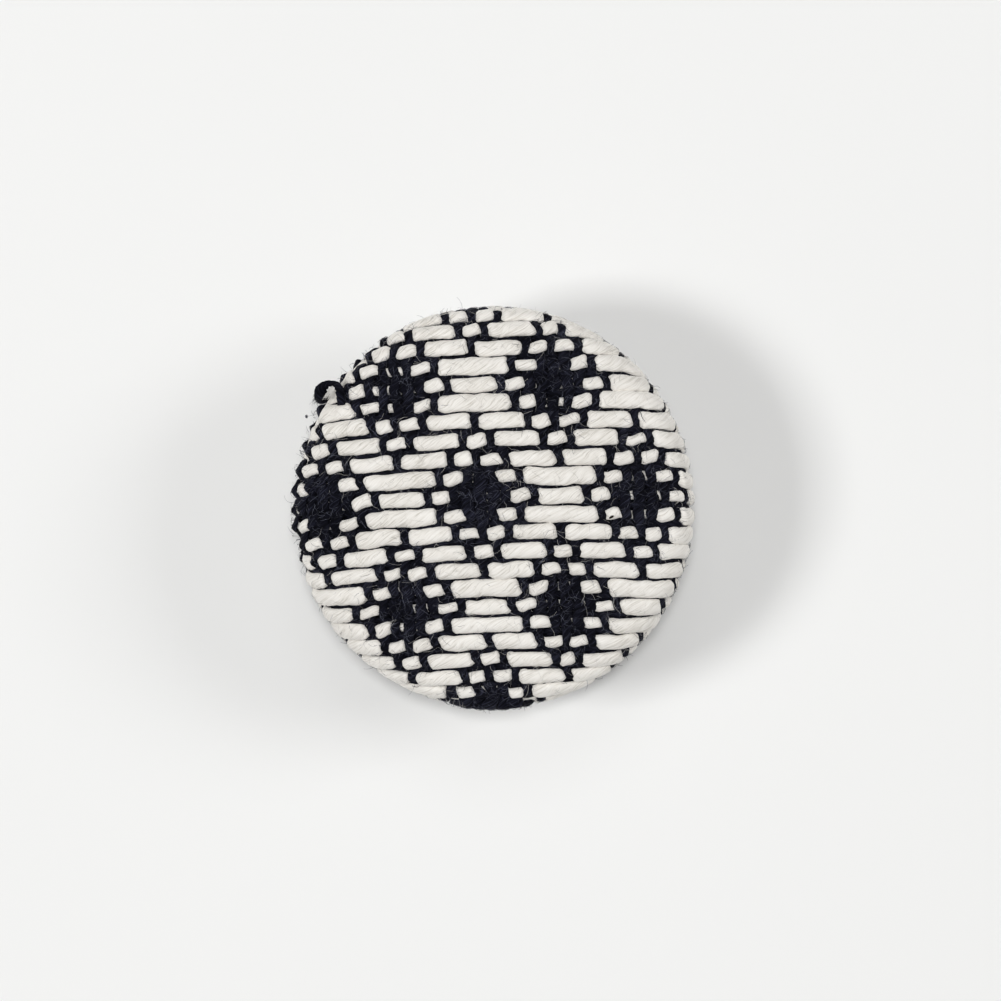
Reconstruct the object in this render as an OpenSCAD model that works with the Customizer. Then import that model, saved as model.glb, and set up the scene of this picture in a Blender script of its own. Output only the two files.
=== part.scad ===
// Obidome: a domed button covered in stitched cloth, on a metal holder for a kimono cord.
// It lies face up. Z = 0 is the underside of the holder's straps, +Z comes out of the
// face, +Y is the top of the face as it is worn, and the cord runs along X.

/* [Cloth cover] */
// Width over the cloth and its stitches
cover_d = 30; // [28:0.5:33]
// Thickness of the cloth with its stitches
cloth_t = 1.5; // [1.2:0.1:1.8]
// Radius of the domed face
crown_r = 45; // [35:1:80]
// Radius where the face rolls over into the side
shoulder_r = 2.4; // [2.2:0.1:3]
// Height of the straight side
side_h = 1.6; // [1.4:0.1:3]
// Radius where the side rolls under
hem_r = 1.8; // [1.6:0.1:2]
// Width of the hem that shows from behind
hem_w = 3.5; // [3.2:0.1:4]
// Radius where the hem rolls up into the cap
mouth_roll_r = 1.2; // [0.8:0.1:1.4]
// Height of the cloth edge tucked up inside the cap
tuck_h = 3; // [2:0.1:3.2]

/* [Gathers round the hem] */
// Number of gathers
gathers = 24; // [12:1:32]
// Depth of the crease between two gathers
gather_depth = 0.3; // [0.15:0.05:0.4]

/* [Loop at the edge] */
// Direction of the pulled loop of thread, from +X towards +Y
loop_angle = 147; // [0:1:359]
// How far the loop stands out of the side
loop_out = 1; // [0.6:0.1:1.5]
// Thickness of the loop
loop_d = 1.3; // [1:0.1:1.6]
// Length of the loop along the edge
loop_l = 2.2; // [1.5:0.1:3]

/* [Button cap] */
// Thickness of the cap's metal
cap_t = 0.4; // [0.3:0.05:0.5]

/* [Back plate] */
// Thickness of the plate's metal
plate_t = 0.4; // [0.3:0.05:0.5]
// Height of the plate's turned-up rim
plate_rim_h = 2.4; // [1.5:0.1:2.6]
// Outer radius of the bend into the rim
plate_bend_r = 0.9; // [0.6:0.1:1.2]

/* [Cord holder] */
// Width of the slot for the cord
slot_w = 12; // [9:0.5:12]
// Height of the slot for the cord
slot_h = 5; // [4.4:0.1:6]
// Length of the base along the cord
base_l = 19; // [17:0.5:19]
// Width of the base across the cord
base_w = 15; // [14.5:0.5:15]
// Corner radius of the base
base_corner_r = 2.6; // [2:0.1:2.6]
// Thickness of the base
base_t = 0.8; // [0.6:0.1:1.2]
// Width of each strap
strap_w = 3; // [2:0.1:4]
// Thickness of each strap
strap_t = 1; // [0.8:0.1:1.2]
// Distance from the end of the base to the strap
strap_inset = 1.1; // [1.1:0.1:2]
// Outer radius of the strap's bends
strap_bend_r = 1.4; // [1.2:0.1:2]

/* [Hidden] */
$fn = 96;

// Gap left between two pieces that are pressed or glued together
seat_gap = 0.05;
// Extra length of a cut, so that it runs out of the solid
overshoot = 1;

// Heights of the stack, from the straps up
base_z = strap_t + slot_h;
plate_z = base_z + base_t + seat_gap;
// The rolled hem stands a little proud of the plate
hem_proud = 0.25;
cover_z = plate_z - hem_proud;

// Centres of the arcs in the cover's section
cover_r = cover_d / 2;
shoulder_x = cover_r - shoulder_r;
shoulder_z = cover_z + hem_r + side_h;
crown_z = shoulder_z - sqrt(pow(crown_r - shoulder_r, 2) - pow(shoulder_x, 2));
// How far the cut that ends the crown runs past it, as a share of its radius
crown_cut_past = 1.2;

// The mouth behind the hem, which the back plate fills
mouth_x = cover_r - hem_w;

// Section of the button from its axis outwards, drawn inset from the cloth's outside.
// low is its lowest height, and turn is the radius of its lower corner.
module dome_section(inset, low, turn) {
    side_x = cover_r - inset;
    // The crown ends on the ray through the two arc centres, where it is tangent
    ray = crown_r / (crown_r - shoulder_r) * crown_cut_past;
    ray_end = [shoulder_x * ray, crown_z + (shoulder_z - crown_z) * ray];
    intersection() {
        translate([0, crown_z]) circle(crown_r - inset);
        polygon([[0, shoulder_z], [shoulder_x, shoulder_z], ray_end, [0, ray_end[1]]]);
    }
    translate([shoulder_x, shoulder_z]) circle(shoulder_r - inset);
    translate([0, low + turn]) square([side_x, shoulder_z - low - turn]);
    if (turn > 0) {
        translate([side_x - turn, low + turn]) circle(turn);
        translate([0, low]) square([side_x - turn, turn]);
    }
}

// Cloth wall: over the face, down the side, under as the hem and up inside the cap
module cloth_section() {
    difference() {
        dome_section(0, cover_z, hem_r);
        dome_section(cloth_t, cover_z + cloth_t, max(hem_r - cloth_t, 0));
        translate([0, cover_z - overshoot])
            square([mouth_x + mouth_roll_r, cloth_t + 2 * overshoot]);
    }
    intersection() {
        translate([mouth_x + mouth_roll_r, cover_z + mouth_roll_r]) circle(mouth_roll_r);
        translate([mouth_x, cover_z]) square(mouth_roll_r);
    }
    translate([mouth_x, cover_z + mouth_roll_r]) square([cloth_t, tuck_h - mouth_roll_r]);
}

// One crease between two gathers, wrapped under the hem from the side to the mouth
module crease() {
    roll_r = hem_w / 2;
    translate([mouth_x + roll_r, 0, cover_z + roll_r])
        rotate([90, 0, 0])
            rotate_extrude(angle = 180, start = 180)
                translate([roll_r, 0]) circle(gather_depth);
}

// Loop of thread that has pulled out of the edge, a rod with round ends
module edge_loop() {
    loop_r = loop_d / 2;
    reach = loop_l / 2 - loop_r;
    rotate([0, 0, loop_angle])
        translate([cover_r + loop_out - loop_r, 0, shoulder_z]) {
            rotate([90, 0, 0]) cylinder(h = 2 * reach, r = loop_r, center = true);
            for (end = [-1, 1])
                translate([0, end * reach, 0]) sphere(loop_r);
        }
}

// Cloth drawn over the cap, its edge gathered and tucked in behind
module cloth_cover() {
    color("#24283c") {
        difference() {
            rotate_extrude() cloth_section();
            for (i = [0 : gathers - 1])
                rotate([0, 0, (i + 0.5) * 360 / gathers]) crease();
        }
        edge_loop();
    }
}

// Domed metal cap under the cloth, open at the back
module button_shell() {
    outside = cloth_t + seat_gap;
    color("silver")
        rotate_extrude()
            difference() {
                dome_section(outside, cover_z + outside, max(hem_r - outside, 0));
                dome_section(outside + cap_t, cover_z, 0);
                square([cover_r - outside - cap_t, cover_z + outside + cap_t]);
            }
}

// Section of a shallow cup: flat floor, one bend and an upright rim
module cup_section(r, low, high, bend_r) {
    translate([0, low]) square([r - bend_r, high - low]);
    translate([r - bend_r, low + bend_r]) circle(bend_r);
    translate([r - bend_r, low + bend_r]) square([bend_r, high - low - bend_r]);
}

// Pressed plate that holds the cloth edge inside the cap
module back_plate() {
    plate_r = mouth_x - seat_gap;
    rim_top = plate_z + plate_rim_h;
    inner_bend_r = plate_bend_r - plate_t;
    color("silver")
        rotate_extrude()
            difference() {
                cup_section(plate_r, plate_z, rim_top, plate_bend_r);
                cup_section(plate_r - plate_t, plate_z + plate_t, rim_top + overshoot, inner_bend_r);
            }
}

// Rectangle with round corners, centred
module rounded_plate(l, w, r) {
    square([l - 2 * r, w], center = true);
    square([l, w - 2 * r], center = true);
    for (x = [-1, 1], y = [-1, 1])
        translate([x * (l / 2 - r), y * (w / 2 - r)]) circle(r);
}

// One strap seen along the cord: a flat loop whose top is buried in the base
module strap_section() {
    outer_w = slot_w + 2 * strap_t;
    outer_h = base_z + base_t / 2;
    inner_bend_r = strap_bend_r - strap_t;
    difference() {
        union() {
            translate([0, outer_h / 2]) rounded_plate(outer_w, outer_h, strap_bend_r);
            translate([-outer_w / 2, outer_h / 2]) square([outer_w, outer_h / 2]);
        }
        translate([0, strap_t + slot_h / 2]) rounded_plate(slot_w, slot_h, inner_bend_r);
        translate([-slot_w / 2, strap_t + slot_h / 2]) square([slot_w, slot_h / 2]);
    }
}

// Plain soldered holder on the back: a base and two straps that the cord passes through
module cord_holder() {
    color("gainsboro") {
        translate([0, 0, base_z])
            linear_extrude(base_t) rounded_plate(base_l, base_w, base_corner_r);
        for (end = [-1, 1])
            translate([end * (base_l / 2 - strap_inset - strap_w / 2), 0, 0])
                rotate([90, 0, 90])
                    linear_extrude(strap_w, center = true) strap_section();
    }
}

cloth_cover();
button_shell();
back_plate();
cord_holder();
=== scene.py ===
"""An obidome: kogin-stitched navy cloth over a round button shell, with a back plate and a cord holder."""

import math

import bpy
import numpy as np
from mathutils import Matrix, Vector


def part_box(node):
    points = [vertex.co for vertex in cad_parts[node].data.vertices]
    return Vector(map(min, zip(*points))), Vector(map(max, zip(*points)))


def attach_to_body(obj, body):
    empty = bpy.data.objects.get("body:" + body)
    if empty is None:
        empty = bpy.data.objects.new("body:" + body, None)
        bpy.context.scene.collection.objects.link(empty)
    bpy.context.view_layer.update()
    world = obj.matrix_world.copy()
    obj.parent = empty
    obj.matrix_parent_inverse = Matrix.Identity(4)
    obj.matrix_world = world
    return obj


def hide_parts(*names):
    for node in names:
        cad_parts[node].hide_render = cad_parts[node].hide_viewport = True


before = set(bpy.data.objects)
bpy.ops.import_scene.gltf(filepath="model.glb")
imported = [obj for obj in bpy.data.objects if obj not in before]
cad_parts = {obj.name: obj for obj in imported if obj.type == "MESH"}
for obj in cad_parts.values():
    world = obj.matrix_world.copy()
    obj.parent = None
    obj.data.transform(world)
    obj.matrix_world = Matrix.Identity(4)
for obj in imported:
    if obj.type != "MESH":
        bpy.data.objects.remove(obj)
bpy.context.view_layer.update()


# Button shell
# The core of the brooch: a shallow cap pressed from thin aluminium sheet, which gives the cloth its domed
# form. The cloth is drawn over it before the back plate is pushed in, so it is hidden in the finished one.

mm = 0.001


def add_node(tree, kind, inputs=None, **settings):
    """A shader node. inputs gives each socket its value, or the output that feeds it."""
    node = tree.nodes.new(kind)
    for name, value in settings.items():
        setattr(node, name, value)
    for socket, value in (inputs or {}).items():
        if isinstance(value, bpy.types.NodeSocket):
            tree.links.new(value, node.inputs[socket])
        else:
            node.inputs[socket].default_value = value
    return node


def start_material(name):
    """A new material, its node tree, its shader and the place on the piece that its patterns read."""
    material = bpy.data.materials.new(name)
    material.use_nodes = True
    tree = material.node_tree
    place = add_node(tree, "ShaderNodeTexCoord").outputs["Object"]
    return material, tree, tree.nodes["Principled BSDF"], place


def add_noise(tree, place, scale, detail, roughness=0.5):
    """Cloudy noise from 0 to 1, read at that place."""
    inputs = {"Vector": place, "Scale": scale, "Detail": detail, "Roughness": roughness}
    return add_node(tree, "ShaderNodeTexNoise", inputs).outputs["Fac"]


def colour_by(tree, shader, factor, stops):
    """Colours the surface by a ramp with (place, colour) stops."""
    node = add_node(tree, "ShaderNodeValToRGB", {"Fac": factor})
    elements = node.color_ramp.elements
    while len(elements) < len(stops):
        elements.new(0.5)
    for element, (place, colour) in zip(elements, stops):
        element.position = place
        element.color = (*colour, 1)
    tree.links.new(node.outputs["Color"], shader.inputs["Base Color"])


def roughen_by(tree, shader, factor, smoothest, roughest):
    """Makes the surface rougher where the factor is high."""
    node = add_node(tree, "ShaderNodeMapRange", {"Value": factor, "To Min": smoothest, "To Max": roughest})
    tree.links.new(node.outputs["Result"], shader.inputs["Roughness"])


def raise_by(tree, shader, height, strength, distance):
    """Raises the surface where the height is high."""
    node = add_node(tree, "ShaderNodeBump", {"Height": height, "Strength": strength, "Distance": distance})
    tree.links.new(node.outputs["Normal"], shader.inputs["Normal"])


def set_finish(shader, finish):
    """Sets numbers and colours that are the same all over the surface."""
    for socket, value in finish.items():
        shader.inputs[socket].default_value = value


def spun_metal(name, dark, light, roughness, ring_scale):
    """Sheet metal pressed in a round die: faint rings about the axis, fine scratches and a soft polish."""
    material, tree, shader, place = start_material(name)
    flat = add_node(tree, "ShaderNodeMapping", {"Vector": place, "Scale": (1, 1, 0)}).outputs["Vector"]
    from_axis = add_node(tree, "ShaderNodeVectorMath", {0: flat}, operation="LENGTH").outputs["Value"]
    ring_inputs = {"W": from_axis, "Scale": ring_scale, "Detail": 4}
    rings = add_node(tree, "ShaderNodeTexNoise", ring_inputs, noise_dimensions="1D").outputs["Fac"]
    cloudy = add_noise(tree, place, scale=240, detail=5)
    worn = add_node(tree, "ShaderNodeMath", {0: rings, 1: cloudy}, operation="MULTIPLY").outputs["Value"]
    colour_by(tree, shader, worn, [(0.15, dark), (0.4, light)])
    roughen_by(tree, shader, cloudy, smoothest=roughness - 0.08, roughest=roughness + 0.12)
    raise_by(tree, shader, rings, strength=0.35, distance=0.03 * mm)
    set_finish(shader, {"Metallic": 1})
    return material


def finish_node(name, material):
    """Gives a CAD node its material."""
    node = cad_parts[name]
    node.data.materials.clear()
    node.data.materials.append(material)


pressed_aluminium = spun_metal(
    "pressed_aluminium",
    dark=(0.42, 0.42, 0.43),
    light=(0.72, 0.72, 0.72),
    roughness=0.38,
    ring_scale=5000,
)
finish_node("button_shell", pressed_aluminium)


# Ground cloth
# A round of coarse navy cotton, cut 43 mm across, drawn tight over the shell and gathered in under its edge,
# where the back plate holds it. Its own warps and wefts lie on this backing, and the stitches with them.

quarter_turn = math.pi / 2
cover_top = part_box("cloth_cover")[1].z
cut_diameter = 43.4 * mm
crown_radius = 45 * mm
shoulder_radius = 2.4 * mm
shoulder_reach = 12.6 * mm
side_height = 1.6 * mm
hem_radius = 1.8 * mm
hem_flat = 0.5 * mm
mouth_radius = 1.2 * mm
tuck_height = 1.8 * mm
crown_tilt = math.asin(shoulder_reach / (crown_radius - shoulder_radius))
shoulder_give = 1.333
hem_give = 1.6
mouth_give = 2.2

# Each leg of the form's outside, from the top of the dome to the tuck: its length, the radius that it bends
# by (0 is straight), and how far the cloth gives along it.
form_legs = (
    (crown_radius * crown_tilt, crown_radius, 1.0),
    (shoulder_radius * (quarter_turn - crown_tilt), shoulder_radius, shoulder_give),
    (side_height, 0, 1.0),
    (hem_radius * quarter_turn, hem_radius, hem_give),
    (hem_flat, 0, 1.0),
    (mouth_radius * quarter_turn, mouth_radius, mouth_give),
    (tuck_height, 0, 1.0),
)
form_step = 0.005 * mm
upright_margin = 0.001
least_cosine = 0.01
step_lengths = []
step_bends = []
step_gives = []
for leg_length, leg_radius, leg_give in form_legs:
    step_count = max(1, round(leg_length / form_step))
    step = leg_length / step_count
    step_lengths += [step] * step_count
    step_bends += [step / leg_radius if leg_radius else 0.0] * step_count
    step_gives += [leg_give] * step_count
step_lengths = np.array(step_lengths)
slopes_after = np.cumsum(step_bends)
slopes_midway = slopes_after - np.array(step_bends) / 2
on_shoulder = (slopes_midway > crown_tilt) & (slopes_midway < quarter_turn - upright_margin)
step_gives = np.array(step_gives)
even_from_above = math.cos(crown_tilt) / np.maximum(np.cos(slopes_midway), least_cosine)
step_gives = np.where(on_shoulder, np.minimum(even_from_above, shoulder_give), step_gives)
form_slope = np.concatenate([[0], slopes_after])
form_reach = np.concatenate([[0], np.cumsum(step_lengths * np.cos(slopes_midway))])
form_height = cover_top - np.concatenate([[0], np.cumsum(step_lengths * np.sin(slopes_midway))])
cloth_reach = np.concatenate([[0], np.cumsum(step_lengths / step_gives)])

gathers = 24
gather_depth = 0.45 * mm
gather_start = 16.2 * mm
gather_full = 19.6 * mm
hem_start = 17.2 * mm
hem_end = 19.4 * mm
hem_squeeze = 0.72


def smooth(value):
    """An even S from 0 to 1, level outside them."""
    value = np.clip(value, 0, 1)
    return value * value * (3 - 2 * value)


def drape(x, y, depth):
    """Points of the flat cloth, that deep under its face, once it is drawn over the shell."""
    reach = np.hypot(x, y)
    around = np.arctan2(y, x)
    slope = np.interp(reach, cloth_reach, form_slope)
    gathered = smooth((reach - gather_start) / (gather_full - gather_start))
    creases = 1 - np.abs(np.cos(gathers / 2 * around))
    squeezed = 1 + (hem_squeeze - 1) * smooth((reach - hem_start) / (hem_end - hem_start))
    sunk = depth * squeezed + gather_depth * gathered * creases
    out = np.interp(reach, cloth_reach, form_reach) - sunk * np.sin(slope)
    up = np.interp(reach, cloth_reach, form_height) - sunk * np.cos(slope)
    return np.stack([out * np.cos(around), out * np.sin(around), up], axis=-1)


def read_points(piece):
    """A mesh's vertices as rows of x, y and z."""
    points = np.empty(len(piece.data.vertices) * 3)
    piece.data.vertices.foreach_get("co", points)
    return points.reshape(-1, 3)


def write_points(piece, points):
    """Moves a mesh's vertices."""
    piece.data.vertices.foreach_set("co", points.ravel())
    piece.data.update()


def store_vectors(piece, name, vectors):
    """Keeps a vector for each vertex, for the material to read."""
    attribute = piece.data.attributes.new(name, "FLOAT_VECTOR", "POINT")
    attribute.data.foreach_set("vector", vectors.astype(np.float32).ravel())


def face_outwards(piece):
    """Turns every face of a closed mesh outwards and shades it smooth."""
    bpy.ops.object.select_all(action="DESELECT")
    bpy.context.view_layer.objects.active = piece
    piece.select_set(True)
    bpy.ops.object.mode_set(mode="EDIT")
    bpy.ops.mesh.select_all(action="SELECT")
    bpy.ops.mesh.normals_make_consistent(inside=False)
    bpy.ops.object.mode_set(mode="OBJECT")
    bpy.ops.object.shade_smooth()


def apply_modifier(piece, kind, **settings):
    """Adds a modifier to a piece and applies it."""
    modifier = piece.modifiers.new(kind.lower(), kind)
    for name, value in settings.items():
        setattr(modifier, name, value)
    bpy.context.view_layer.objects.active = piece
    bpy.ops.object.modifier_apply(modifier=modifier.name)


backing_depth = 1.12 * mm
backing_thickness = 0.14 * mm
backing_rings = 56
sides_per_gather = 6
backing_sides = gathers * sides_per_gather


def cut_backing():
    """A flat round of cloth in rings, cut to size."""
    ring_width = cut_diameter / 2 / backing_rings
    bpy.ops.object.select_all(action="DESELECT")
    bpy.ops.mesh.primitive_circle_add(vertices=backing_sides, radius=ring_width, fill_type="TRIFAN")
    bpy.ops.object.mode_set(mode="EDIT")
    bpy.ops.mesh.select_all(action="SELECT")
    bpy.ops.mesh.region_to_loop()
    for ring in range(1, backing_rings):
        wider = (ring + 1) / ring
        bpy.ops.mesh.extrude_edges_move()
        bpy.ops.transform.resize(value=(wider, wider, 1))
    bpy.ops.object.mode_set(mode="OBJECT")
    return bpy.context.object


def vary(tree, streaks, patches, amount):
    """The streaks, made lighter and darker by patches, by that much from the darkest to the lightest."""
    inputs = {0: patches, 1: amount, 2: -amount / 2}
    shift = add_node(tree, "ShaderNodeMath", inputs, operation="MULTIPLY_ADD").outputs["Value"]
    return add_node(tree, "ShaderNodeMath", {0: streaks, 1: shift}, operation="ADD").outputs["Value"]


def navy_cotton(name, streak_scale, along_fibres):
    """Indigo-dyed cotton: nearly black, with paler grey-blue fibres along each thread, lightened further by
    a painted highlight.
    """
    material, tree, shader, place = start_material(name)
    streak_place = place
    if along_fibres:
        streak_place = add_node(tree, "ShaderNodeAttribute", attribute_name="fibre").outputs["Vector"]
    streaks = add_noise(tree, streak_place, scale=streak_scale, detail=4, roughness=0.65)
    faded = add_noise(tree, place, scale=420, detail=2)
    tone = vary(tree, streaks, faded, amount=0.16)
    black_dye = (0.0006, 0.0006, 0.0016)
    navy_dye = (0.0036, 0.0038, 0.0085)
    # The palest stop is partly the paler fibres of the dyed cotton and partly a painted highlight along the
    # threads.
    pale_fibre_and_highlight_dye = (0.0420, 0.0440, 0.0680)
    colour_by(tree, shader, tone, [(0.40, black_dye), (0.53, navy_dye), (0.68, pale_fibre_and_highlight_dye)])
    roughen_by(tree, shader, streaks, smoothest=0.78, roughest=0.98)
    raise_by(tree, shader, streaks, strength=0.7, distance=0.05 * mm)
    finish = {
        "Specular IOR Level": 0.08,
        "Sheen Weight": 0.02,
        "Sheen Roughness": 0.45,
        "Sheen Tint": (0.62, 0.66, 0.80, 1),
    }
    set_finish(shader, finish)
    return material


ground_cloth = cut_backing()
ground_cloth.name = "ground_cloth"
flat_cloth = read_points(ground_cloth)
write_points(ground_cloth, drape(flat_cloth[:, 0], flat_cloth[:, 1], backing_depth))
apply_modifier(ground_cloth, "SOLIDIFY", thickness=backing_thickness, offset=-1)
face_outwards(ground_cloth)
ground_cloth.data.materials.append(navy_cotton("backing_cotton", streak_scale=2600, along_fibres=False))


# Warp threads
# The ground's lengthwise threads: soft navy cotton yarns of three plies, about a millimetre apart. Each lies
# over the white yarn where the pattern is dark and under it where a stitch passes, and crosses the wefts in
# between.

full_turn = 2 * math.pi
warp_pitch = 0.988 * mm
row_pitch = 1.380 * mm
pattern_start = (-0.972 * mm, 0.790 * mm)
warp_lean = -0.0843 * mm
warp_fan = 0.00085 * mm
warp_sweep = 0.00011 * mm
row_rise = 0.0356 * mm
row_bow = -0.00232 * mm
row_fan = 0.0005 * mm
row_spread = 0.0022 * mm
row_curl = 0.00027 * mm
warp_slant = 0.05 * mm
sideways_wander = 0.20 * mm
sideways_wander_rate = 1.7
upward_wander = 0.08 * mm
upward_wander_rate = 0.8
wander_cells = 96


def chance_lattice(seed):
    """A square of chance numbers from -1 to 1 that repeats at its edges."""
    return np.random.default_rng(seed).uniform(-1, 1, (wander_cells, wander_cells))


def drift(lattice, across, along):
    """Smooth chance drift between the lattice's numbers."""
    column = np.floor(across).astype(int)
    row = np.floor(along).astype(int)
    right = smooth(across - column)
    up = smooth(along - row)
    left_low = lattice[column % wander_cells, row % wander_cells]
    right_low = lattice[(column + 1) % wander_cells, row % wander_cells]
    left_high = lattice[column % wander_cells, (row + 1) % wander_cells]
    right_high = lattice[(column + 1) % wander_cells, (row + 1) % wander_cells]
    low = left_low + (right_low - left_low) * right
    high = left_high + (right_high - left_high) * right
    return low + (high - low) * up


sideways_lattice = chance_lattice(seed=11)
upward_lattice = chance_lattice(seed=12)
plump_lattice = chance_lattice(seed=13)


def weave(column, row, depth):
    """Points at those warps and rows of stitches, counted from the middle of the central diamond."""
    x = pattern_start[0] + warp_pitch * column + warp_lean * row
    x = x + warp_fan * column * row + warp_sweep * row**3
    y = pattern_start[1] + row_pitch * row + row_rise * column + row_bow * column**2
    y = y + row_fan * column * row + row_spread * row**2 + row_curl * column**2 * row
    x = x - warp_slant * np.sin(full_turn * row)
    x = x + sideways_wander * drift(sideways_lattice, column, sideways_wander_rate * row)
    y = y + upward_wander * drift(upward_lattice, upward_wander_rate * column, row)
    return drape(x, y, depth)


# The kogin chart: one line for each row from the middle of a diamond to halfway to the next, and one sign
# for each warp from the diamond's middle. The yarn passes over a warp at "#" and under it at ".".
kogin_chart = (
    "...#.###.#..",
    "..#.#####.#.",
    ".#.###.###.#",
    "#.###.#.###.",
)
chart_over = np.array([[sign == "#" for sign in line] for line in kogin_chart])
chart_width = len(kogin_chart[0])
half_repeat = chart_width // 2


def yarn_over(column, row):
    """True where the white yarn passes over the warp."""
    column = np.asarray(column).astype(int)
    row = np.asarray(row).astype(int)
    band = np.floor(row / half_repeat + 0.5).astype(int)
    line = np.abs(row - band * half_repeat)
    return chart_over[line, (column + band * half_repeat) % chart_width]


def twisted_strand(plies, sides, groove, length, rings, twist_length):
    """A straight closed strand along X, of radius one. Its plies wind round it once in each twist_length."""
    bpy.ops.object.select_all(action="DESELECT")
    bpy.ops.mesh.primitive_circle_add(vertices=plies * sides, radius=1, rotation=(0, quarter_turn, 0))
    strand = bpy.context.object
    bpy.ops.object.transform_apply(location=False, rotation=True, scale=False)
    ring = read_points(strand)
    in_groove = np.arange(len(ring)) % sides == 0
    bpy.ops.object.mode_set(mode="EDIT")
    bpy.ops.mesh.select_mode(type="VERT")
    bpy.ops.mesh.select_all(action="DESELECT")
    bpy.ops.object.mode_set(mode="OBJECT")
    strand.data.vertices.foreach_set("select", in_groove)
    bpy.ops.object.mode_set(mode="EDIT")
    bpy.ops.transform.resize(value=(1, groove, groove))
    bpy.ops.object.mode_set(mode="OBJECT")
    apply_modifier(
        strand,
        "SCREW",
        axis="X",
        angle=full_turn * length / twist_length,
        screw_offset=length,
        steps=rings,
        render_steps=rings,
    )
    bpy.ops.object.mode_set(mode="EDIT")
    bpy.ops.mesh.select_all(action="SELECT")
    bpy.ops.mesh.fill_holes(sides=0)
    bpy.ops.object.mode_set(mode="OBJECT")
    return strand


streaks_per_mm = 0.16


def remember_fibres(strand, straight, twist_length, offset):
    """Keeps each point's place along and round the strand, turning with its plies."""
    turned = np.arctan2(straight[:, 2], straight[:, 1]) - full_turn * straight[:, 0] / twist_length
    along = straight[:, 0] / mm * streaks_per_mm + offset
    store_vectors(strand, "fibre", np.stack([along, np.cos(turned), np.sin(turned)], axis=-1))


def pressed_section(straight, fullness):
    """Sideways and upward place of each point in a strand's section, pressed squarer as fullness falls."""
    size = np.hypot(straight[:, 1], straight[:, 2])
    sideways = straight[:, 1] / size
    upward = straight[:, 2] / size
    flat_sideways = np.sign(sideways) * np.abs(sideways) ** fullness
    flat_upward = np.sign(upward) * np.abs(upward) ** fullness
    return size * flat_sideways, size * flat_upward


def between_stops(place, stops):
    """Values that run smoothly from stop to stop. The stops are one unit of place apart, from place 0."""
    cell = np.clip(np.floor(place).astype(int), 0, len(stops) - 2)
    return stops[cell] + (stops[cell + 1] - stops[cell]) * smooth(place - cell)


peep_lattice = chance_lattice(seed=39096)
peep_rarity = 2


def peep(column, row):
    """How much white shows, from 0 to 1, where the yarn hides between that warp and the next one."""
    return np.maximum(peep_lattice[column % wander_cells, row % wander_cells], 0) ** peep_rarity


cloth_end = 21.4 * mm
least_rings = 8
warp_plies = 3
warp_sides = 4
warp_groove = 0.86
warp_rings = 6
warp_twist = 2.1 * mm
warp_fullness = 0.9
warp_fibre_offset = 7.3
warp_width_free = 0.56 * mm
warp_width_at_stitch = 0.415 * mm
warp_unevenness = 0.22
warp_plump_along = 2.0
warp_plump_across = 3.7
warp_plump_round = 0.8
warp_width_at_weft = 0.40 * mm
warp_thickness_up = 0.22 * mm
warp_thickness_down = 0.17 * mm
warp_up = 0.38 * mm
warp_down = 1.03 * mm
warp_over_weft = 0.45 * mm
warp_under_weft = 0.78 * mm
warp_sinking_over = 0.62 * mm
warp_sinking_under = 0.88 * mm
warp_parting = 0.28 * mm
edge_start = 14.5 * mm
edge_full = 15.5 * mm
edge_pull_least = 0.2
# Where the warps are drawn proud of the edge: the direction, the cosines of the angles from it at which the
# pull ends and is full, and its strength.
edge_pulls = (
    (math.radians(157), 0.740, 0.870, 1.5),
    (math.radians(266.2), 0.970, 0.980, 1.7),
)
warp_edge_lift = 0.13 * mm
warp_edge_spread = 0.28


def past_edge(column, row):
    """How far the warps stand proud of the yarn: not on the face, and most where its edge is pulled."""
    x = pattern_start[0] + warp_pitch * column
    y = pattern_start[1] + row_pitch * row
    pull = edge_pull_least
    for side, ends, full, strength in edge_pulls:
        towards_side = np.cos(np.arctan2(y, x) - side)
        pull = pull + strength * smooth((towards_side - ends) / (full - ends))
    return pull * smooth((np.hypot(x, y) - edge_start) / (edge_full - edge_start))


def reach_of_row(row):
    """First and last warp that a row of stitches meets inside the cut of the cloth."""
    half = math.sqrt(max(0, cloth_end**2 - (pattern_start[1] + row_pitch * row) ** 2))
    middle = -pattern_start[0] - warp_lean * row
    return (middle - half) / warp_pitch, (middle + half) / warp_pitch


def reach_of_warp(column):
    """First and last row of stitches that a warp meets inside the cut of the cloth."""
    half = math.sqrt(max(0, cloth_end**2 - (pattern_start[0] + warp_pitch * column) ** 2))
    middle = -pattern_start[1] - row_rise * column
    return (middle - half) / row_pitch, (middle + half) / row_pitch


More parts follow.
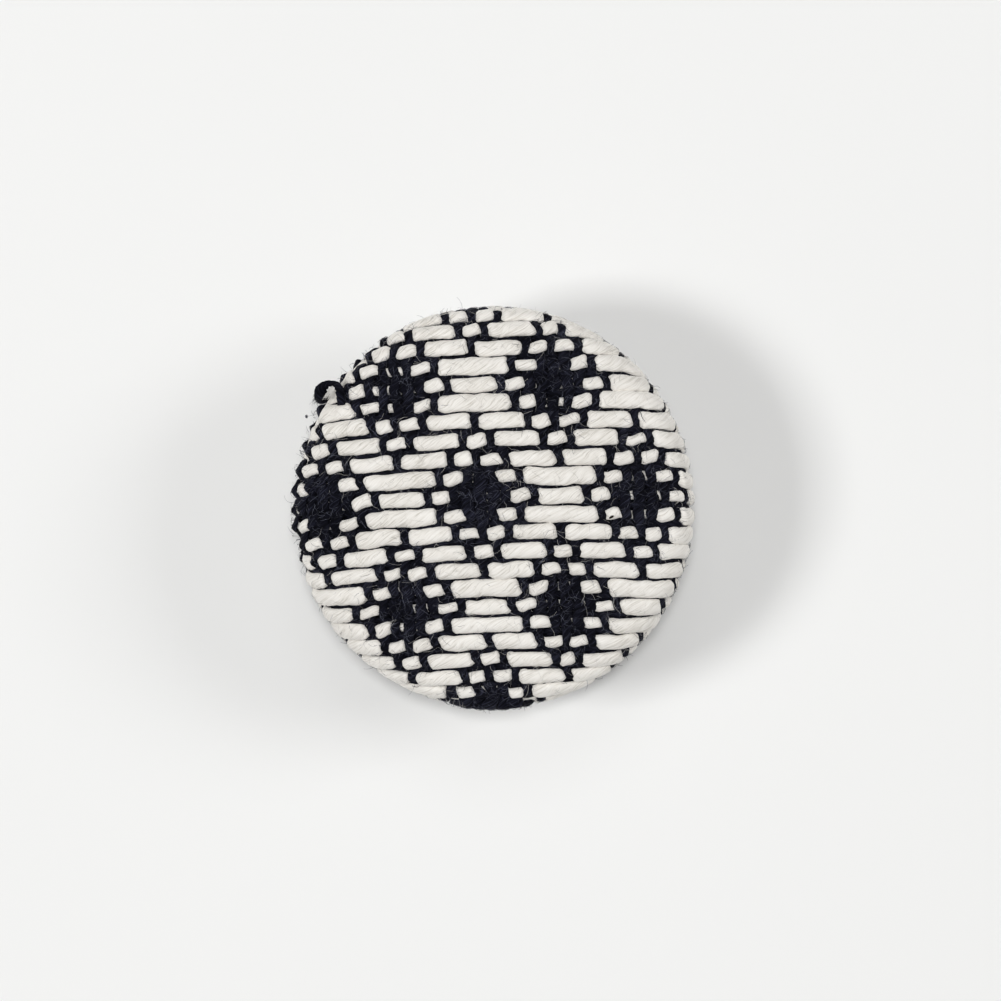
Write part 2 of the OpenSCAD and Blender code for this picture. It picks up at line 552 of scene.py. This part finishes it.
def lay_warp(column):
    """One warp, straight from the bobbin, laid through the cloth."""
    first, last = reach_of_warp(column)
    length = (last - first) * row_pitch
    rings = max(least_rings, round((last - first) * warp_rings))
    strand = twisted_strand(warp_plies, warp_sides, warp_groove, length, rings, warp_twist)
    straight = read_points(strand)
    row = first + straight[:, 0] / row_pitch
    # Stops at every row and every weft: even ones are rows, odd ones wefts.
    bottom = math.floor(first) - 1
    top = math.ceil(last) + 1
    rows = np.arange(bottom, top + 1)
    up = ~yarn_over(column, rows)
    up_left = ~yarn_over(column - 1, rows)
    up_right = ~yarn_over(column + 1, rows)
    over_weft = (column + rows[:-1]) % 2 == 0
    both_up = up[:-1] & up[1:]
    both_down = ~up[:-1] & ~up[1:]
    at_weft = np.where(over_weft, warp_sinking_over, warp_sinking_under)
    at_weft = np.where(both_up, np.where(over_weft, warp_over_weft, warp_under_weft), at_weft)
    at_weft = np.where(both_down, warp_down, at_weft)
    depths = np.empty(2 * len(rows) - 1)
    depths[0::2] = np.where(up, warp_up, warp_down)
    depths[1::2] = at_weft
    thicknesses = np.full(2 * len(rows) - 1, (warp_thickness_up + warp_thickness_down) / 2)
    thicknesses[0::2] = np.where(up, warp_thickness_up, warp_thickness_down)
    lefts = np.full(2 * len(rows) - 1, warp_width_at_weft)
    rights = lefts.copy()
    free_left = warp_width_free - warp_parting * peep(column - 1, rows)
    free_right = warp_width_free - warp_parting * peep(np.full(len(rows), column), rows)
    lefts[0::2] = np.where(up & up_left, free_left, warp_width_at_stitch)
    rights[0::2] = np.where(up & up_right, free_right, warp_width_at_stitch)
    place = (row - bottom) * 2
    # The strand lies along Y here, so its own left is towards smaller columns.
    sideways, upward = pressed_section(straight, warp_fullness)
    width = np.where(sideways > 0, between_stops(place, lefts), between_stops(place, rights))
    plump_place = warp_plump_across * column + warp_plump_round * sideways
    width = width * (1 + warp_unevenness * drift(plump_lattice, warp_plump_along * row, plump_place))
    turned_down = past_edge(column, row)
    columns = column - width * (1 + warp_edge_spread * turned_down) * sideways / warp_pitch
    depth = between_stops(place, depths) - between_stops(place, thicknesses) * upward
    depth = depth - warp_edge_lift * turned_down
    remember_fibres(strand, straight, warp_twist, column * warp_fibre_offset)
    write_points(strand, weave(columns, row, depth))
    return strand


def join_pieces(parts, name, material):
    """Joins the parts into one piece, faces it outwards and gives it its material."""
    bpy.ops.object.select_all(action="DESELECT")
    for part in parts:
        part.select_set(True)
    bpy.context.view_layer.objects.active = parts[0]
    bpy.ops.object.join()
    piece = bpy.context.object
    piece.name = name
    piece.data.name = name
    face_outwards(piece)
    piece.data.materials.clear()
    piece.data.materials.append(material)
    return piece


def attach(piece):
    """The piece moves with the brooch and stands in for the CAD cover, which it hides."""
    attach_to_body(piece, "root")
    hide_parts("cloth_cover")


navy_thread = navy_cotton("navy_thread", streak_scale=5.0, along_fibres=True)
first_warp = math.ceil((-cloth_end - pattern_start[0]) / warp_pitch)
last_warp = math.floor((cloth_end - pattern_start[0]) / warp_pitch)
warps = [lay_warp(column) for column in range(first_warp + 1, last_warp)]
warp_threads = join_pieces(warps, "warp_threads", navy_thread)
attach(warp_threads)


# Weft threads
# The ground's crosswise threads: thinner navy cotton, one between each two rows of stitches. A weft shows
# where it passes over a warp, and as a dark line in the groove between two rows of white.

weft_plies = 2
weft_sides = 4
weft_groove = 0.84
weft_rings = 4
weft_twist = 1.7 * mm
weft_fullness = 1.0
weft_fibre_offset = 5.9
weft_width = 0.21 * mm
weft_width_in_groove = 0.16 * mm
weft_thickness = 0.145 * mm
weft_up = 0.44 * mm
weft_down = 0.95 * mm
weft_between_stitches = 0.64 * mm
weft_beside_stitch = 0.60 * mm
weft_shift = 0.06


def lay_weft(row):
    """The weft that lies just above that row of stitches."""
    first, last = reach_of_row(row + 0.5)
    length = (last - first) * warp_pitch
    rings = max(least_rings, round((last - first) * weft_rings))
    strand = twisted_strand(weft_plies, weft_sides, weft_groove, length, rings, weft_twist)
    straight = read_points(strand)
    column = first + straight[:, 0] / warp_pitch
    left = math.floor(first) - 1
    columns = np.arange(left, math.ceil(last) + 2)
    below_up = ~yarn_over(columns, np.full(len(columns), row))
    above_up = ~yarn_over(columns, np.full(len(columns), row + 1))
    over_warp = (columns + row) % 2 == 1
    both_up = below_up & above_up
    both_down = ~below_up & ~above_up
    depths = np.where(over_warp, weft_beside_stitch, weft_down)
    depths = np.where(both_up, np.where(over_warp, weft_up, weft_down), depths)
    depths = np.where(both_down, weft_between_stitches, depths)
    widths = np.where(both_up, weft_width, weft_width_in_groove)
    shifts = weft_shift * (above_up.astype(float) - below_up.astype(float))
    place = column - left
    sideways, upward = pressed_section(straight, weft_fullness)
    rows = row + 0.5 + between_stops(place, shifts) + between_stops(place, widths) * sideways / row_pitch
    depth = between_stops(place, depths) - weft_thickness * upward
    remember_fibres(strand, straight, weft_twist, row * weft_fibre_offset)
    write_points(strand, weave(column, rows, depth))
    return strand


first_row = math.ceil((-cloth_end - pattern_start[1]) / row_pitch)
last_row = math.floor((cloth_end - pattern_start[1]) / row_pitch)
wefts = [lay_weft(row) for row in range(first_row, last_row)]
weft_threads = join_pieces(wefts, "weft_threads", navy_thread)
attach(weft_threads)


# Stitching yarn
# Thick, softly twisted white cotton, run through the cloth in rows from edge to edge, over one, three or
# five warps at a time. Kogin is worked from the middle row outwards, so the upper and lower halves are two
# lengths of yarn.

yarn_plies = 6
yarn_sides = 4
yarn_groove = 0.92
yarn_rings = 7
yarn_twist = -5.6 * mm
yarn_fullness = 1.0
yarn_fibre_offset = 3.7
yarn_up = 0.42 * mm
yarn_down = 0.86 * mm
yarn_thickness_up = 0.40 * mm
yarn_thickness_down = 0.24 * mm
yarn_width_down = 0.34 * mm
yarn_rise = 0.55 * mm
yarn_widening_start = 0.13 * mm
yarn_widening = 0.52 * mm
yarn_peek = 0.72
tilt_lattice = chance_lattice(seed=14)
tilt_drift_along = 0.5
tilt_drift_across = 2.3
size_lattice = chance_lattice(seed=15)
shift_lattice = chance_lattice(seed=16)
float_lengths = (0, 1, 3, 5)
float_half_widths = (0.32 * mm, 0.445 * mm, 0.59 * mm, 0.63 * mm)
float_tilts = (0.0, 0.075 * mm, 0.03 * mm, 0.015 * mm)
float_size_changes = (0.1, 0.17, 0.09, 0.06)
float_shift = 0.07 * mm
yarn_unevenness = 0.09
yarn_plump_along = 1.3
yarn_plump_across = 3.1
yarn_plump_round = 0.7
yarn_edge_sinking = 0.24 * mm


def lay_yarn(row):
    """One row of stitches, from one edge of the cloth to the other."""
    first, last = reach_of_row(row)
    length = (last - first) * warp_pitch
    rings = max(least_rings, round((last - first) * yarn_rings))
    strand = twisted_strand(yarn_plies, yarn_sides, yarn_groove, length, rings, yarn_twist)
    straight = read_points(strand)
    column = first + straight[:, 0] / warp_pitch
    columns = np.arange(math.floor(first) - half_repeat, math.ceil(last) + half_repeat)
    held = columns[~yarn_over(columns, np.full(len(columns), row))]
    after = np.searchsorted(held, column, side="right")
    from_warp = np.minimum(column - held[after - 1], held[after] - column) * warp_pitch
    passed = held[after] - held[after - 1] - 1
    # Each stitch has its own chance size and shift. Where the yarn hides between two warps, it has its own
    # peep of white.
    stitch = (held[after - 1] % wander_cells, row % wander_cells)
    peek = yarn_peek * peep(held[after - 1], np.full(len(column), row))
    rise = smooth(from_warp / yarn_rise) * np.where(passed > 0, 1, peek)
    widen = smooth((from_warp - yarn_widening_start) / yarn_widening)
    size_change = np.interp(passed, float_lengths, float_size_changes) * size_lattice[stitch]
    full_width = np.interp(passed, float_lengths, float_half_widths) * (1 + size_change)
    width = yarn_width_down + (full_width - yarn_width_down) * widen
    # A short stitch leans with the yarn's twist: its left end lies low and its right end high.
    across_stitch = (column - held[after - 1]) / (held[after] - held[after - 1])
    tilt = -np.interp(passed, float_lengths, float_tilts) * np.sin(full_turn * across_stitch)
    tilt_row = np.full(len(column), tilt_drift_across * row)
    tilt = tilt * (1 + drift(tilt_lattice, tilt_drift_along * column, tilt_row))
    tilt = tilt + float_shift * shift_lattice[stitch] * widen
    thickness = yarn_thickness_down + (yarn_thickness_up - yarn_thickness_down) * rise
    sideways, upward = pressed_section(straight, yarn_fullness)
    plump_place = yarn_plump_across * row + yarn_plump_round * sideways
    plump = 1 + yarn_unevenness * drift(plump_lattice, yarn_plump_along * column, plump_place)
    depth = yarn_down + (yarn_up - yarn_down) * rise - thickness * upward
    depth = depth + yarn_edge_sinking * past_edge(column, row)
    remember_fibres(strand, straight, yarn_twist, row * yarn_fibre_offset)
    write_points(strand, weave(column, row + (tilt + width * plump * sideways) / row_pitch, depth))
    return strand


def white_cotton():
    """Undyed cotton yarn: matt ivory, with fine fibres winding along the plies."""
    material, tree, shader, place = start_material("white_cotton")
    along_fibres = add_node(tree, "ShaderNodeAttribute", attribute_name="fibre").outputs["Vector"]
    streaks = add_noise(tree, along_fibres, scale=5.5, detail=5, roughness=0.6)
    patches = add_noise(tree, place, scale=300, detail=3)
    tone = vary(tree, streaks, patches, amount=0.3)
    shaded_ivory = (0.56, 0.53, 0.475)
    ivory = (0.79, 0.76, 0.71)
    pale_ivory = (0.885, 0.862, 0.82)
    colour_by(tree, shader, tone, [(0.30, shaded_ivory), (0.46, ivory), (0.66, pale_ivory)])
    roughen_by(tree, shader, streaks, smoothest=0.85, roughest=1.0)
    raise_by(tree, shader, streaks, strength=0.85, distance=0.05 * mm)
    finish = {
        "Specular IOR Level": 0.2,
        "Sheen Weight": 0.75,
        "Sheen Roughness": 0.5,
        "Sheen Tint": (1, 0.98, 0.94, 1),
    }
    set_finish(shader, finish)
    return material


white_yarn = white_cotton()
upper_rows = [lay_yarn(row) for row in range(0, last_row + 1)]
upper_stitches = join_pieces(upper_rows, "upper_stitches", white_yarn)
attach(upper_stitches)
lower_rows = [lay_yarn(row) for row in range(first_row, 0)]
lower_stitches = join_pieces(lower_rows, "lower_stitches", white_yarn)
attach(lower_stitches)


# Edge loop
# A navy warp of three plies that was pulled out of the upper left edge when the cloth was gathered in. It
# stands nearly a millimetre out of the side and curls back into the groove between two rows of stitches.


def smooth_path(stops, places):
    """Points at those places, from 0 to 1, along a curve that passes through the stops."""
    stops = np.asarray(stops, dtype=float)
    ahead = np.vstack([2 * stops[0] - stops[1], stops, 2 * stops[-1] - stops[-2]])
    at = np.clip(places, 0, 1) * (len(stops) - 1)
    cell = np.minimum(np.floor(at).astype(int), len(stops) - 2)
    part = (at - cell)[:, None]
    before, start, end, after = (ahead[cell + step] for step in range(4))
    bend = 2 * start + (end - before) * part + (2 * before - 5 * start + 4 * end - after) * part**2
    return (bend + (3 * start - before - 3 * end + after) * part**3) / 2


def lay_loose_thread(strand, stops, widths, thicknesses, twist_length, offset):
    """Lays a straight strand, of any length, along a curve through the stops, each with its own size."""
    straight = read_points(strand)
    places = straight[:, 0] / straight[:, 0].max()
    nearby = 0.01
    ahead = smooth_path(stops, places + nearby) - smooth_path(stops, places - nearby)
    ahead = ahead / np.linalg.norm(ahead, axis=1)[:, None]
    out = np.cross(ahead, np.array([0.0, 0.0, 1.0]))
    out = out / np.linalg.norm(out, axis=1)[:, None]
    up = np.cross(out, ahead)
    spots = np.linspace(0, 1, len(stops))
    width = np.interp(places, spots, widths)
    thickness = np.interp(places, spots, thicknesses)
    points = smooth_path(stops, places) + out * (straight[:, 1] * width)[:, None]
    remember_fibres(strand, straight, twist_length, offset)
    write_points(strand, points + up * (straight[:, 2] * thickness)[:, None])


loop_stops = np.array([
    (-11.20, 7.50, 12.15),
    (-11.25, 8.05, 12.10),
    (-11.36, 8.62, 11.85),
    (-11.55, 9.00, 11.40),
    (-11.95, 9.14, 10.95),
    (-12.40, 9.03, 10.65),
    (-12.74, 8.66, 10.40),
    (-12.88, 8.22, 10.10),
    (-12.84, 7.93, 9.70),
    (-12.62, 7.93, 9.32),
    (-12.30, 8.02, 9.08),
    (-11.80, 7.80, 8.95),
]) * mm
loop_widths = np.array([0.30, 0.33, 0.34, 0.26, 0.20, 0.32, 0.50, 0.42, 0.30, 0.27, 0.26, 0.24]) * mm
loop_thicknesses = np.array([0.20, 0.22, 0.24, 0.22, 0.20, 0.28, 0.40, 0.36, 0.26, 0.24, 0.22, 0.20]) * mm
loop_length = 6.6 * mm
loop_rings = 66
loop_groove = 0.72
loop_twist = 1.5 * mm
loop_thread = twisted_strand(warp_plies, warp_sides, loop_groove, loop_length, loop_rings, loop_twist)
lay_loose_thread(loop_thread, loop_stops, loop_widths, loop_thicknesses, loop_twist, offset=0)
edge_loop = join_pieces([loop_thread], "edge_loop", navy_thread)
attach(edge_loop)


# Loose fibres
# Short cotton fibres, finer than a hair, that have worked out of the navy threads and the white yarn in the
# making. Each is held at one end by its thread and lies over whatever is beside it, and a few stand up.

fibre_joints = 8
fibre_radius = 0.013 * mm
white_fibre_radius = 0.75 * fibre_radius
fibre_tip = 0.45
fibre_step = 0.12 * mm
fibre_shortest = 0.5
fibre_longest = 1.5
fibre_length_skew = 1.6
fibre_turning = 0.42
fibre_root_depth = 0.12 * mm
fibre_root_steepness = 4
fibre_lift = 0.02 * mm
standing_share = 0.07
standing_height = 0.24 * mm
fibre_reach = 19.0 * mm
navy_fibre_count = 3000
white_fibre_count = 1400
tries_per_fibre = 4


def surface_depth(column, row):
    """Depth of the highest thread at that place: the white yarn where it passes over, or else the warp."""
    over = yarn_over(np.round(column), np.round(row))
    off_row = np.clip((row - np.round(row)) * row_pitch / float_half_widths[-1], -1, 1)
    off_warp = np.clip((column - np.round(column)) * warp_pitch / warp_width_free, -1, 1)
    turned_down = past_edge(column, row)
    on_yarn = yarn_up - yarn_thickness_up * np.sqrt(1 - off_row**2) + yarn_edge_sinking * turned_down
    on_warp = warp_up - warp_thickness_up * np.sqrt(1 - off_warp**2) - warp_edge_lift * turned_down
    return np.where(over, on_yarn, on_warp)


def fibre_paths(count, seed, from_yarn, length_share):
    """The joints of that many fibres, each rooted in the white yarn, or else in a navy thread."""
    chance = np.random.default_rng(seed)
    tries = count * tries_per_fibre
    column = chance.uniform(first_warp, last_warp, tries)
    row = chance.uniform(first_row, last_row, tries)
    x = pattern_start[0] + warp_pitch * column + warp_lean * row
    y = pattern_start[1] + row_pitch * row + row_rise * column
    at_root = yarn_over(np.round(column), np.round(row)) == from_yarn
    chosen = np.flatnonzero(at_root & (np.hypot(x, y) < fibre_reach))[:count]
    column, row = column[chosen], row[chosen]
    heading = chance.uniform(0, full_turn, len(chosen))
    length = length_share * chance.uniform(fibre_shortest, fibre_longest, len(chosen)) ** fibre_length_skew
    stands = chance.uniform(0, 1, len(chosen)) < standing_share
    columns, rows, depths = [], [], []
    for joint in range(fibre_joints):
        share = joint / (fibre_joints - 1)
        columns.append(column)
        rows.append(row)
        lying = surface_depth(column, row) - fibre_lift
        rooted = fibre_root_depth * (1 - share) ** fibre_root_steepness
        depths.append(np.where(stands, lying - standing_height * share, lying) + rooted)
        heading = heading + chance.uniform(-fibre_turning, fibre_turning, len(chosen))
        column = column + fibre_step * length * np.cos(heading) / warp_pitch
        row = row + fibre_step * length * np.sin(heading) / row_pitch
    return weave(np.stack(columns, axis=1), np.stack(rows, axis=1), np.stack(depths, axis=1))


def spin_fibres(paths, name, material, radius):
    """Fine tubes that thin towards their free end, one along each path, in one mesh."""
    curve = bpy.data.curves.new(name, "CURVE")
    curve.dimensions = "3D"
    curve.bevel_depth = radius
    curve.bevel_resolution = 0
    curve.use_fill_caps = True
    joints = paths.shape[1]
    taper = np.linspace(1, fibre_tip, joints)
    for path in paths:
        spline = curve.splines.new("POLY")
        spline.points.add(joints - 1)
        spline.points.foreach_set("co", np.column_stack([path, np.ones(joints)]).ravel())
        spline.points.foreach_set("radius", taper)
    tubes = bpy.data.objects.new(name, curve)
    bpy.context.scene.collection.objects.link(tubes)
    bpy.ops.object.select_all(action="DESELECT")
    bpy.context.view_layer.objects.active = tubes
    tubes.select_set(True)
    bpy.ops.object.convert(target="MESH")
    return join_pieces([bpy.context.object], name, material)


def fibre_cotton(name, dark, light, sheen):
    """Single cotton fibres, or a scrap of the plant: matt, and lighter and darker from place to place."""
    material, tree, shader, place = start_material(name)
    tones = add_noise(tree, place, scale=900, detail=3)
    colour_by(tree, shader, tones, [(0.38, dark), (0.64, light)])
    set_finish(shader, {"Roughness": 0.8, "Specular IOR Level": 0.3, "Sheen Weight": sheen})
    return material


navy_fibre = fibre_cotton("navy_fibre", dark=(0.010, 0.011, 0.020), light=(0.110, 0.118, 0.160), sheen=0.1)
navy_paths = fibre_paths(navy_fibre_count, seed=21, from_yarn=False, length_share=0.62)
navy_fibres = spin_fibres(navy_paths, "navy_fibres", navy_fibre, fibre_radius)
attach(navy_fibres)
white_fibre = fibre_cotton("white_fibre", dark=(0.30, 0.29, 0.28), light=(0.72, 0.70, 0.66), sheen=0.2)
white_paths = fibre_paths(white_fibre_count, seed=22, from_yarn=True, length_share=0.85)
white_fibres = spin_fibres(white_paths, "white_fibres", white_fibre, white_fibre_radius)
attach(white_fibres)


# Stray hairs
# Longer navy fibres that curl out of the edge, most of them at the left, a tuft at the turn of the edge
# loop, and a speck of navy lint that hangs by a fibre from the white yarn below it.

hair_count = 46
hair_joints = 10
hair_radius = 0.011 * mm
hair_length = 1.15 * mm
hair_shortest = 0.35
hair_spread = 1.05
hair_aside = 0.9
hair_curl = 2.6
hair_low = 9.9 * mm
hair_high = 11.6 * mm
hair_lean_in = 0.45
hair_lift = 0.25
side_radius = 14.75 * mm
hair_seed = 24
hair_chance = np.random.default_rng(hair_seed)
hair_shares = np.linspace(0, 1, hair_joints)[None, :]
hair_around = math.pi + hair_chance.normal(0, hair_spread, (hair_count, 1))
hair_up = hair_chance.uniform(hair_low, hair_high, (hair_count, 1))
hair_step = hair_length * hair_chance.uniform(hair_shortest, 1.0, (hair_count, 1)) / (hair_joints - 1)
hair_start = hair_chance.uniform(-hair_aside, hair_aside, (hair_count, 1))
hair_heading = hair_start + hair_chance.uniform(-hair_curl, hair_curl, (hair_count, 1)) * hair_shares
hair_out = np.cumsum(hair_step * np.cos(hair_heading), axis=1)
hair_side = np.cumsum(hair_step * np.sin(hair_heading), axis=1)
hair_reach = side_radius - hair_lean_in * (hair_up - hair_low) + hair_out
hair_x = hair_reach * np.cos(hair_around) - hair_side * np.sin(hair_around)
hair_y = hair_reach * np.sin(hair_around) + hair_side * np.cos(hair_around)
rim_hairs = np.stack([hair_x, hair_y, hair_up + hair_lift * hair_out], axis=-1)

tuft_count = 120
tuft_root = np.array([-13.00, 8.30, 10.05]) * mm
tuft_root_spread = np.array([0.10, 0.20, 0.15]) * mm
tuft_reach = np.array([-0.10, -0.38, -0.10]) * mm
tuft_spread = np.array([0.20, 0.22, 0.20]) * mm
tuft_curl = 0.06 * mm
tuft_roots = tuft_root + tuft_root_spread * hair_chance.uniform(-1, 1, (tuft_count, 1, 3))
tuft_ends = tuft_reach + tuft_spread * hair_chance.normal(0, 1, (tuft_count, 1, 3))
tuft_bow = np.sin(math.pi * hair_shares)[:, :, None]
tuft_bends = tuft_curl * hair_chance.normal(0, 1, (tuft_count, 1, 3)) * tuft_bow
tuft = tuft_roots + tuft_ends * hair_shares[:, :, None] + tuft_bends

lint_count = 30
lint_place = np.array([-13.83, 6.68, 10.7]) * mm
lint_size = np.array([0.12, 0.16, 0.10]) * mm
lint_turning = 6
lint_start = 3
lint_core = 0.2
lint_turns = hair_chance.uniform(-lint_turning, lint_turning, (lint_count, 1, 3)) * hair_shares[:, :, None]
lint_curls = np.sin(lint_turns + hair_chance.uniform(-lint_start, lint_start, (lint_count, 1, 3)))
lint_curls = lint_curls / np.maximum(np.linalg.norm(lint_curls, axis=2, keepdims=True), 1)
lint = lint_place + lint_size * lint_curls * hair_chance.uniform(lint_core, 1, (lint_count, 1, 1))
lint_root = np.array([[-13.05, 6.90, 10.4]]) * mm
lint_hair = (lint_root + (lint_place - lint_root) * hair_shares.T)[None, :, :]
hair_paths = np.concatenate([rim_hairs, tuft, lint, lint_hair])
stray_hairs = spin_fibres(hair_paths, "stray_hairs", navy_fibre, hair_radius)
attach(stray_hairs)


# Frayed yarn end
# The cut end of a row of the white yarn, which sticks out under the edge loop. It has untwisted into loose
# fibres, which fan out over the stitch below it.


def on_face(x, y, lift):
    """Points that lie that high over the cloth's face, seen from straight above."""
    face_count = np.searchsorted(form_slope, quarter_turn)
    height = np.interp(np.hypot(x, y), form_reach[:face_count], form_height[:face_count])
    return np.stack([x, y, height + lift], axis=-1)


end_root = (-11.90 * mm, 9.04 * mm)
end_middle = (-12.16 * mm, 8.00 * mm)
end_spread = 0.50 * mm
end_flare = 1.2
end_lift = 0.16 * mm
end_lowest = 0.1
end_drop = 0.7
end_wave = 0.07 * mm
fray_shortest = 0.45
fray_longest = 1.12
frayed_count = 220
fray_seed = 23
fray_chance = np.random.default_rng(fray_seed)
fray_lengths = fray_chance.uniform(fray_shortest, fray_longest, (frayed_count, 1))
fray_shares = np.linspace(0, 1, fibre_joints)[None, :] * fray_lengths
fan = fray_chance.uniform(-1, 1, (frayed_count, 1)) * fray_shares**end_flare
fray_bend = fray_chance.normal(0, end_wave, (frayed_count, 1)) * np.sin(math.pi * fray_shares)
fray_x = end_root[0] + (end_middle[0] - end_root[0]) * fray_shares + end_spread * fan + fray_bend
fray_y = end_root[1] + (end_middle[1] - end_root[1]) * fray_shares
fray_lift = end_lift * fray_chance.uniform(end_lowest, 1, (frayed_count, 1)) * (1 - end_drop * fray_shares)
frayed_cotton = fibre_cotton("frayed_cotton", dark=(0.62, 0.60, 0.56), light=(0.88, 0.86, 0.82), sheen=0.3)
yarn_end = spin_fibres(on_face(fray_x, fray_y, fray_lift), "yarn_end", frayed_cotton, fibre_radius)
attach(yarn_end)


# Cotton husk
# A dark scrap of seed husk that was spun into the white yarn. It lies on a short stitch at the right of the
# face, half sunk between the fibres.

husk_place = (8.66 * mm, -0.74 * mm)
husk_size = (0.19 * mm, 0.085 * mm, 0.05 * mm)
husk_turn = 0.55
husk_sinking = 0.03 * mm
husk_roughness = 0.15
husk_seed = 31
bpy.ops.object.select_all(action="DESELECT")
bpy.ops.mesh.primitive_ico_sphere_add(subdivisions=3, radius=1, rotation=(0, 0, husk_turn), scale=husk_size)
husk = bpy.context.object
husk.name = "cotton_husk"
husk.location = on_face(*husk_place, -husk_sinking)
bpy.ops.object.transform_apply()
husk_points = read_points(husk)
husk_chance = np.random.default_rng(husk_seed)
husk_dents = husk_chance.uniform(1 - husk_roughness, 1 + husk_roughness, len(husk_points))
husk_middle = husk_points.mean(axis=0)
write_points(husk, husk_middle + (husk_points - husk_middle) * husk_dents[:, None])
bpy.ops.object.shade_smooth()
husk_brown = fibre_cotton("husk_brown", dark=(0.012, 0.009, 0.006), light=(0.060, 0.042, 0.028), sheen=0.05)
husk.data.materials.append(husk_brown)
attach(husk)

# The ground cloth is attached to the brooch once all that is worked into it is there, because they are one
# sheet.
attach(ground_cloth)


# Back plate
# A round plate of thin aluminium with a turned-up rim, pushed into the shell's mouth so that it grips the
# cloth. Its rim holds by friction, and its face shows rings from the press.

finish_node("back_plate", pressed_aluminium)


# Cord holder
# A base and two flat straps of nickel-plated brass, soldered to each other and fixed to the back plate. The
# cord of the sash runs through the straps.


def brushed_nickel():
    """Nickel plate over brushed brass: bright and slightly warm, with fine lines along the cord's way."""
    material, tree, shader, place = start_material("brushed_nickel")
    brush_scale = (300, 9000, 9000)
    drawn = add_node(tree, "ShaderNodeMapping", {"Vector": place, "Scale": brush_scale}).outputs["Vector"]
    lines = add_noise(tree, drawn, scale=1, detail=4)
    cloudy = add_noise(tree, place, scale=300, detail=4)
    colour_by(tree, shader, lines, [(0.3, (0.60, 0.58, 0.545)), (0.7, (0.72, 0.70, 0.66))])
    roughen_by(tree, shader, cloudy, smoothest=0.27, roughest=0.42)
    raise_by(tree, shader, lines, strength=0.25, distance=0.02 * mm)
    set_finish(shader, {"Metallic": 1})
    return material


finish_node("cord_holder", brushed_nickel())


# Floor, light and camera
# A seamless pale board under four soft boxes, the strongest overhead and at the left, in pale surroundings.
# The camera looks straight down on the brooch, which lies face up.

floor_size = 1.6
floor_drop = 0.02 * mm
bpy.ops.object.select_all(action="DESELECT")
bpy.ops.mesh.primitive_plane_add(size=floor_size, location=(0, 0, -floor_drop))
floor = bpy.context.object
floor.name = "floor"
bpy.ops.object.transform_apply()
pale_board, board_tree, board_shader, board_place = start_material("pale_board")
board_clouds = add_noise(board_tree, board_place, scale=12, detail=2)
board_tones = [(0.3, (0.855, 0.855, 0.845)), (0.7, (0.865, 0.865, 0.855))]
colour_by(board_tree, board_shader, board_clouds, board_tones)
set_finish(board_shader, {"Roughness": 0.9, "Specular IOR Level": 0.1})
floor.data.materials.append(pale_board)


def soft_light(name, place, aim, size, power):
    """A square soft box at that place, aimed at a point."""
    light = bpy.data.lights.new(name, "AREA")
    light.shape = "SQUARE"
    light.size = size
    light.energy = power
    lamp = bpy.data.objects.new(name, light)
    bpy.context.scene.collection.objects.link(lamp)
    lamp.location = place
    toward = np.array(aim) - np.array(place)
    lamp.rotation_euler = (
        math.atan2(math.hypot(toward[0], toward[1]), -toward[2]),
        0,
        math.atan2(-toward[0], toward[1]),
    )


brooch_middle = (0, 0, 0)
soft_light("left_softbox", place=(-0.596, -0.084, 0.669), aim=brooch_middle, size=0.20, power=3.55)
soft_light("right_softbox", place=(0.703, 0.149, 0.542), aim=brooch_middle, size=0.34, power=2.35)
soft_light("top_softbox", place=(0, 0.07, 1.10), aim=brooch_middle, size=0.14, power=4.9)
soft_light("rear_softbox", place=(0, 0.258, 0.486), aim=brooch_middle, size=0.20, power=0.22)

world = bpy.data.worlds.new("pale_surroundings")
world.use_nodes = True
set_finish(world.node_tree.nodes["Background"], {"Color": (1, 1, 1, 1), "Strength": 0.08})
bpy.context.scene.world = world
bpy.context.scene.view_settings.view_transform = "Standard"

picture_width = 74.15 * mm
picture_height_above_floor = 10 * mm
camera_distance = 400 * mm
camera_offset = (0.519 * mm, 0.48 * mm)
camera_data = bpy.data.cameras.new("camera")
camera_data.sensor_width = 36
camera_data.lens = camera_data.sensor_width * camera_distance / picture_width
camera_data.clip_start = 0.01
camera = bpy.data.objects.new("camera", camera_data)
bpy.context.scene.collection.objects.link(camera)
camera.location = (*camera_offset, picture_height_above_floor + camera_distance)
bpy.context.scene.camera = camera
